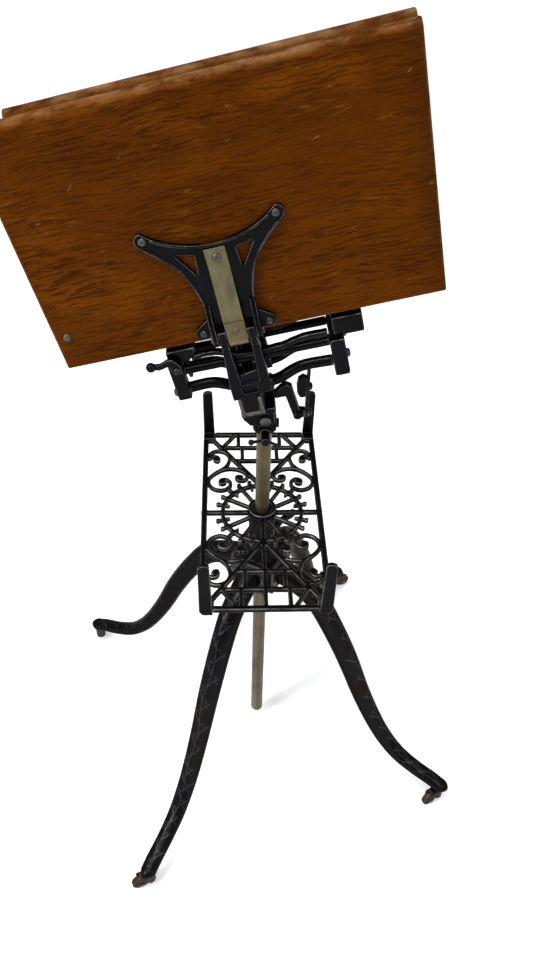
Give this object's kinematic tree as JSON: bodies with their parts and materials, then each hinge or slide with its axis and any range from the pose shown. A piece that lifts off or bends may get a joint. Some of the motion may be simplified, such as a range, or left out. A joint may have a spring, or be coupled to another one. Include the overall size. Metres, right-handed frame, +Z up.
{
  "type": "reading stand",
  "caption": "Adjustable book stand: hinged oak boards on a tilting iron head, sliding post, openwork shelf and a legged base on casters.",
  "frame": {"origin": "on the floor, on the axis of the post", "axes": "+Z up, +X to the right along the boards' hinge line, +Y to the back"},
  "size_m": [0.5594, 0.5594, 1.0325],
  "materials": {
    "japanned_iron": "black japan, satin gloss, worn at the edges",
    "caster_iron": "bare iron, dull and stained",
    "nickel": "old nickel plate, dull and yellowed",
    "steel": "dull turned steel",
    "oak": "old orange-brown varnish, satin"
  },
  "bodies": {
    "base": {"hub": "japanned_iron", "leg_front_left": "japanned_iron", "leg_front_right": "japanned_iron", "leg_back_left": "japanned_iron", "leg_back_right": "japanned_iron", "leg_screws": "steel"},
    "height_screw": {"height_screw": "japanned_iron"},
    "caster_front_left": {"caster_fork_front_left": "caster_iron", "caster_axle_front_left": "steel"},
    "wheel_front_left": {"caster_wheel_front_left": "caster_iron"},
    "caster_front_right": {"caster_fork_front_right": "caster_iron", "caster_axle_front_right": "steel"},
    "wheel_front_right": {"caster_wheel_front_right": "caster_iron"},
    "caster_back_left": {"caster_fork_back_left": "caster_iron", "caster_axle_back_left": "steel"},
    "wheel_back_left": {"caster_wheel_back_left": "caster_iron"},
    "caster_back_right": {"caster_fork_back_right": "caster_iron", "caster_axle_back_right": "steel"},
    "wheel_back_right": {"caster_wheel_back_right": "caster_iron"},
    "shelf": {"book_shelf": "japanned_iron", "shelf_lip_front_left": "japanned_iron", "shelf_lip_front_right": "japanned_iron", "shelf_lip_back_left": "japanned_iron", "shelf_lip_back_right": "japanned_iron", "shelf_set_screw": "steel"},
    "post": {"post": "nickel"},
    "head": {"head_socket": "japanned_iron", "tilt_pin": "steel"},
    "clamp": {"clamp_handle": "japanned_iron"},
    "cradle": {"tilt_knuckle": "japanned_iron", "slide_channel": "nickel", "cradle_frame_front": "japanned_iron", "cradle_frame_rear": "japanned_iron", "upper_bars": "japanned_iron", "end_plate_left": "japanned_iron", "end_plate_right": "japanned_iron", "spine_rest_left": "japanned_iron", "spine_rest_right": "japanned_iron", "end_bolts": "steel", "catch_arm": "japanned_iron", "catch_pin": "steel", "latch_pin": "steel"},
    "catch": {"catch_link": "japanned_iron", "catch_pawl": "japanned_iron"},
    "latch": {"latch_lever": "japanned_iron"},
    "yoke_front": {"yoke_front": "japanned_iron", "hinge_pin_front": "steel"},
    "board_front": {"board_front": "oak", "bracket_front": "japanned_iron", "board_screws_front": "steel", "spring_front": "nickel", "clip_front": "nickel", "book_ledge": "oak"},
    "yoke_rear": {"yoke_rear": "japanned_iron", "hinge_pin_rear": "steel"},
    "board_rear": {"board_rear": "oak", "bracket_rear": "japanned_iron", "board_screws_rear": "steel", "spring_rear": "nickel", "clip_rear": "nickel"}
  },
  "joints": [
    {"name": "height_screw_turn", "type": "hinge", "parent": "base", "child": "height_screw", "pos_m": [0, 0, 0.42], "axis": [0.7771, 0.6293, 0], "range_deg": [-180, 180]},
    {"name": "swivel_front_left", "type": "hinge", "parent": "base", "child": "caster_front_left", "pos_m": [-0.154, -0.26674, 0.027], "axis": [0, 0, 1], "continuous": true},
    {"name": "roll_front_left", "type": "hinge", "parent": "caster_front_left", "child": "wheel_front_left", "pos_m": [-0.16716, -0.27152, 0.012], "axis": [0.342, -0.9397, 0], "continuous": true},
    {"name": "swivel_front_right", "type": "hinge", "parent": "base", "child": "caster_front_right", "pos_m": [0.26674, -0.154, 0.027], "axis": [0, 0, 1], "continuous": true},
    {"name": "roll_front_right", "type": "hinge", "parent": "caster_front_right", "child": "wheel_front_right", "pos_m": [0.25438, -0.16057, 0.012], "axis": [0.4695, -0.8829, 0], "continuous": true},
    {"name": "swivel_back_left", "type": "hinge", "parent": "base", "child": "caster_back_left", "pos_m": [-0.26674, 0.154, 0.027], "axis": [0, 0, 1], "continuous": true},
    {"name": "roll_back_left", "type": "hinge", "parent": "caster_back_left", "child": "wheel_back_left", "pos_m": [-0.26917, 0.16779, 0.012], "axis": [-0.9848, -0.1736, 0], "continuous": true},
    {"name": "swivel_back_right", "type": "hinge", "parent": "base", "child": "caster_back_right", "pos_m": [0.154, 0.26674, 0.027], "axis": [0, 0, 1], "continuous": true},
    {"name": "roll_back_right", "type": "hinge", "parent": "caster_back_right", "child": "wheel_back_right", "pos_m": [0.16716, 0.27152, 0.012], "axis": [-0.342, 0.9397, 0], "continuous": true},
    {"name": "shelf_swivel", "type": "hinge", "parent": "base", "child": "shelf", "pos_m": [0, 0, 0.452], "axis": [0, 0, 1], "continuous": true},
    {"name": "post_slide", "type": "slide", "parent": "base", "child": "post", "axis": [0, 0, 1], "range_m": [-0.01, 0.24]},
    {"name": "head_swivel", "type": "hinge", "parent": "post", "child": "head", "pos_m": [0, 0, 0.6], "axis": [0, 0, 1], "continuous": true},
    {"name": "clamp_turn", "type": "hinge", "parent": "head", "child": "clamp", "pos_m": [0, -0.02, 0.601], "axis": [0, -1, 0], "range_deg": [-180, 180]},
    {"name": "tilt", "type": "hinge", "parent": "head", "child": "cradle", "pos_m": [0, 0, 0.6185], "axis": [0, -1, 0], "range_deg": [-13.8, 17.5]},
    {"name": "catch_swing", "type": "hinge", "parent": "cradle", "child": "catch", "pos_m": [0.04404, 0, 0.61696], "axis": [1, 0, 0], "range_deg": [-20, 20]},
    {"name": "latch_turn", "type": "hinge", "parent": "cradle", "child": "latch", "pos_m": [-0.095, -0.029, 0.69505], "axis": [0, 1, 0], "range_deg": [-30, 40]},
    {"name": "yoke_slide_front", "type": "slide", "parent": "cradle", "child": "yoke_front", "axis": [0, -1, 0], "range_m": [0, 0.014]},
    {"name": "board_open_front", "type": "hinge", "parent": "yoke_front", "child": "board_front", "pos_m": [-0.03151, -0.032, 0.7405], "axis": [0.9711, 0, 0.2385], "range_deg": [0, 90]},
    {"name": "yoke_slide_rear", "type": "slide", "parent": "cradle", "child": "yoke_rear", "axis": [0, 1, 0], "range_m": [0, 0.014]},
    {"name": "board_open_rear", "type": "hinge", "parent": "yoke_rear", "child": "board_rear", "pos_m": [-0.03151, 0.032, 0.7405], "axis": [-0.9711, 0, -0.2385], "range_deg": [0, 90]}
  ]
}
